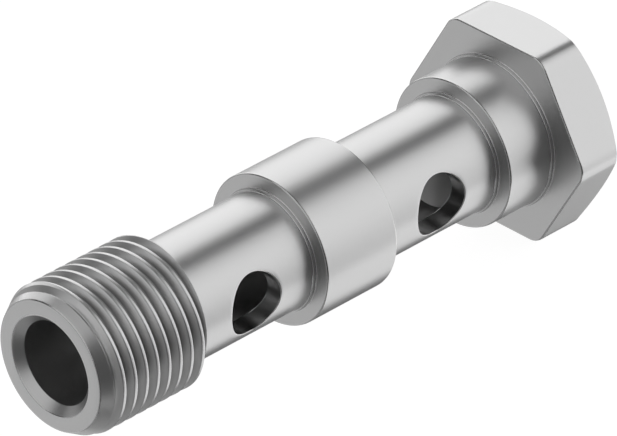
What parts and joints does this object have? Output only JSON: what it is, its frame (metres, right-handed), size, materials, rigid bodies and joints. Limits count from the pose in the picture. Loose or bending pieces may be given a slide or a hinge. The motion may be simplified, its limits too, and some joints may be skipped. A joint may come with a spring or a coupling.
{
  "type": "banjo bolt",
  "caption": "Double banjo bolt: hexagon head, necks and collars for stacked banjo rings, cross-drilled blind bore and threaded end.",
  "frame": {"origin": "on the bolt's axis in the plane of the seat, the face of the head that presses on the upper banjo ring", "axes": "+X along the axis from the head to the threaded end, +Z square to two flats of the head, +Y along the cross holes and towards a corner of the head; the bolt lies on a flat of its head"},
  "size_m": [0.0409, 0.0146, 0.013],
  "materials": {
    "plated_steel": "satin turned surface with a thin bright plating"
  },
  "bodies": {
    "root": {"banjo_bolt": "plated_steel"}
  },
  "joints": []
}
